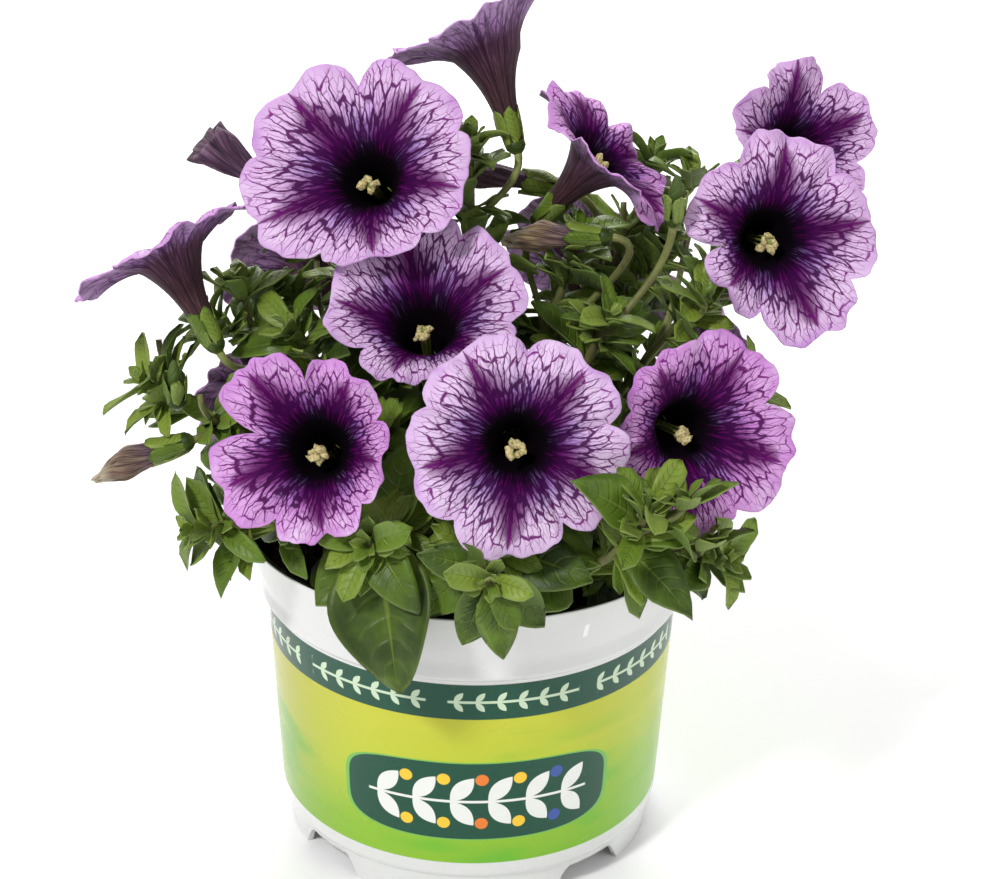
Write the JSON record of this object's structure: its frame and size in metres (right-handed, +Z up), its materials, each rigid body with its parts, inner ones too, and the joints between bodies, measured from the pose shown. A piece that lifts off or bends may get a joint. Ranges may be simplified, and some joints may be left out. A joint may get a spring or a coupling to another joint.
{
  "type": "potted petunia",
  "caption": "Bushy petunia with veined violet funnel flowers and leafy stems, growing in a white plastic nursery pot.",
  "frame": {"origin": "centre of the flat pad under the pot, on the surface that the pot stands on", "axes": "+Z up along the pot's axis, -Y towards the front of the plant, +X to the right seen from the front"},
  "size_m": [0.198, 0.154, 0.2231],
  "materials": {
    "pot_plastic": "satin",
    "potting_soil": "matte",
    "foliage": "satin",
    "petals": "matte",
    "withered_petals": "matte"
  },
  "bodies": {
    "root": {"pot": "pot_plastic", "soil": "potting_soil", "bloom_front": "petals", "bloom_front_left": "petals", "bloom_front_right": "petals", "bloom_middle": "petals", "bloom_upper_left": "petals", "bloom_upper_right": "petals", "bloom_far_right": "petals", "bloom_top": "petals", "bloom_top_right": "petals", "bloom_far_left": "petals", "bloom_back_left": "petals", "bloom_back_right": "petals", "bloom_back_low": "petals", "bloom_left_back": "petals", "bloom_right_back": "petals", "withered_middle": "withered_petals", "withered_left": "withered_petals", "withered_upper_left": "withered_petals", "withered_behind": "withered_petals", "stem_front": "foliage", "stem_front_right": "foliage", "stem_front_left": "foliage", "stem_left": "foliage", "stem_upper_left": "foliage", "stem_high_left": "foliage", "stem_middle": "foliage", "stem_top": "foliage", "stem_high_right": "foliage", "stem_upper_right": "foliage", "stem_right": "foliage", "stem_right_low": "foliage", "stem_right_rim": "foliage", "stem_back_left": "foliage", "stem_back": "foliage", "stem_back_right": "foliage", "stem_left_back": "foliage", "stem_right_back": "foliage", "shoot_rim": "foliage", "shoot_middle_right": "foliage", "shoot_middle_left": "foliage", "shoot_back_high": "foliage", "shoot_back_side": "foliage"}
  },
  "joints": []
}
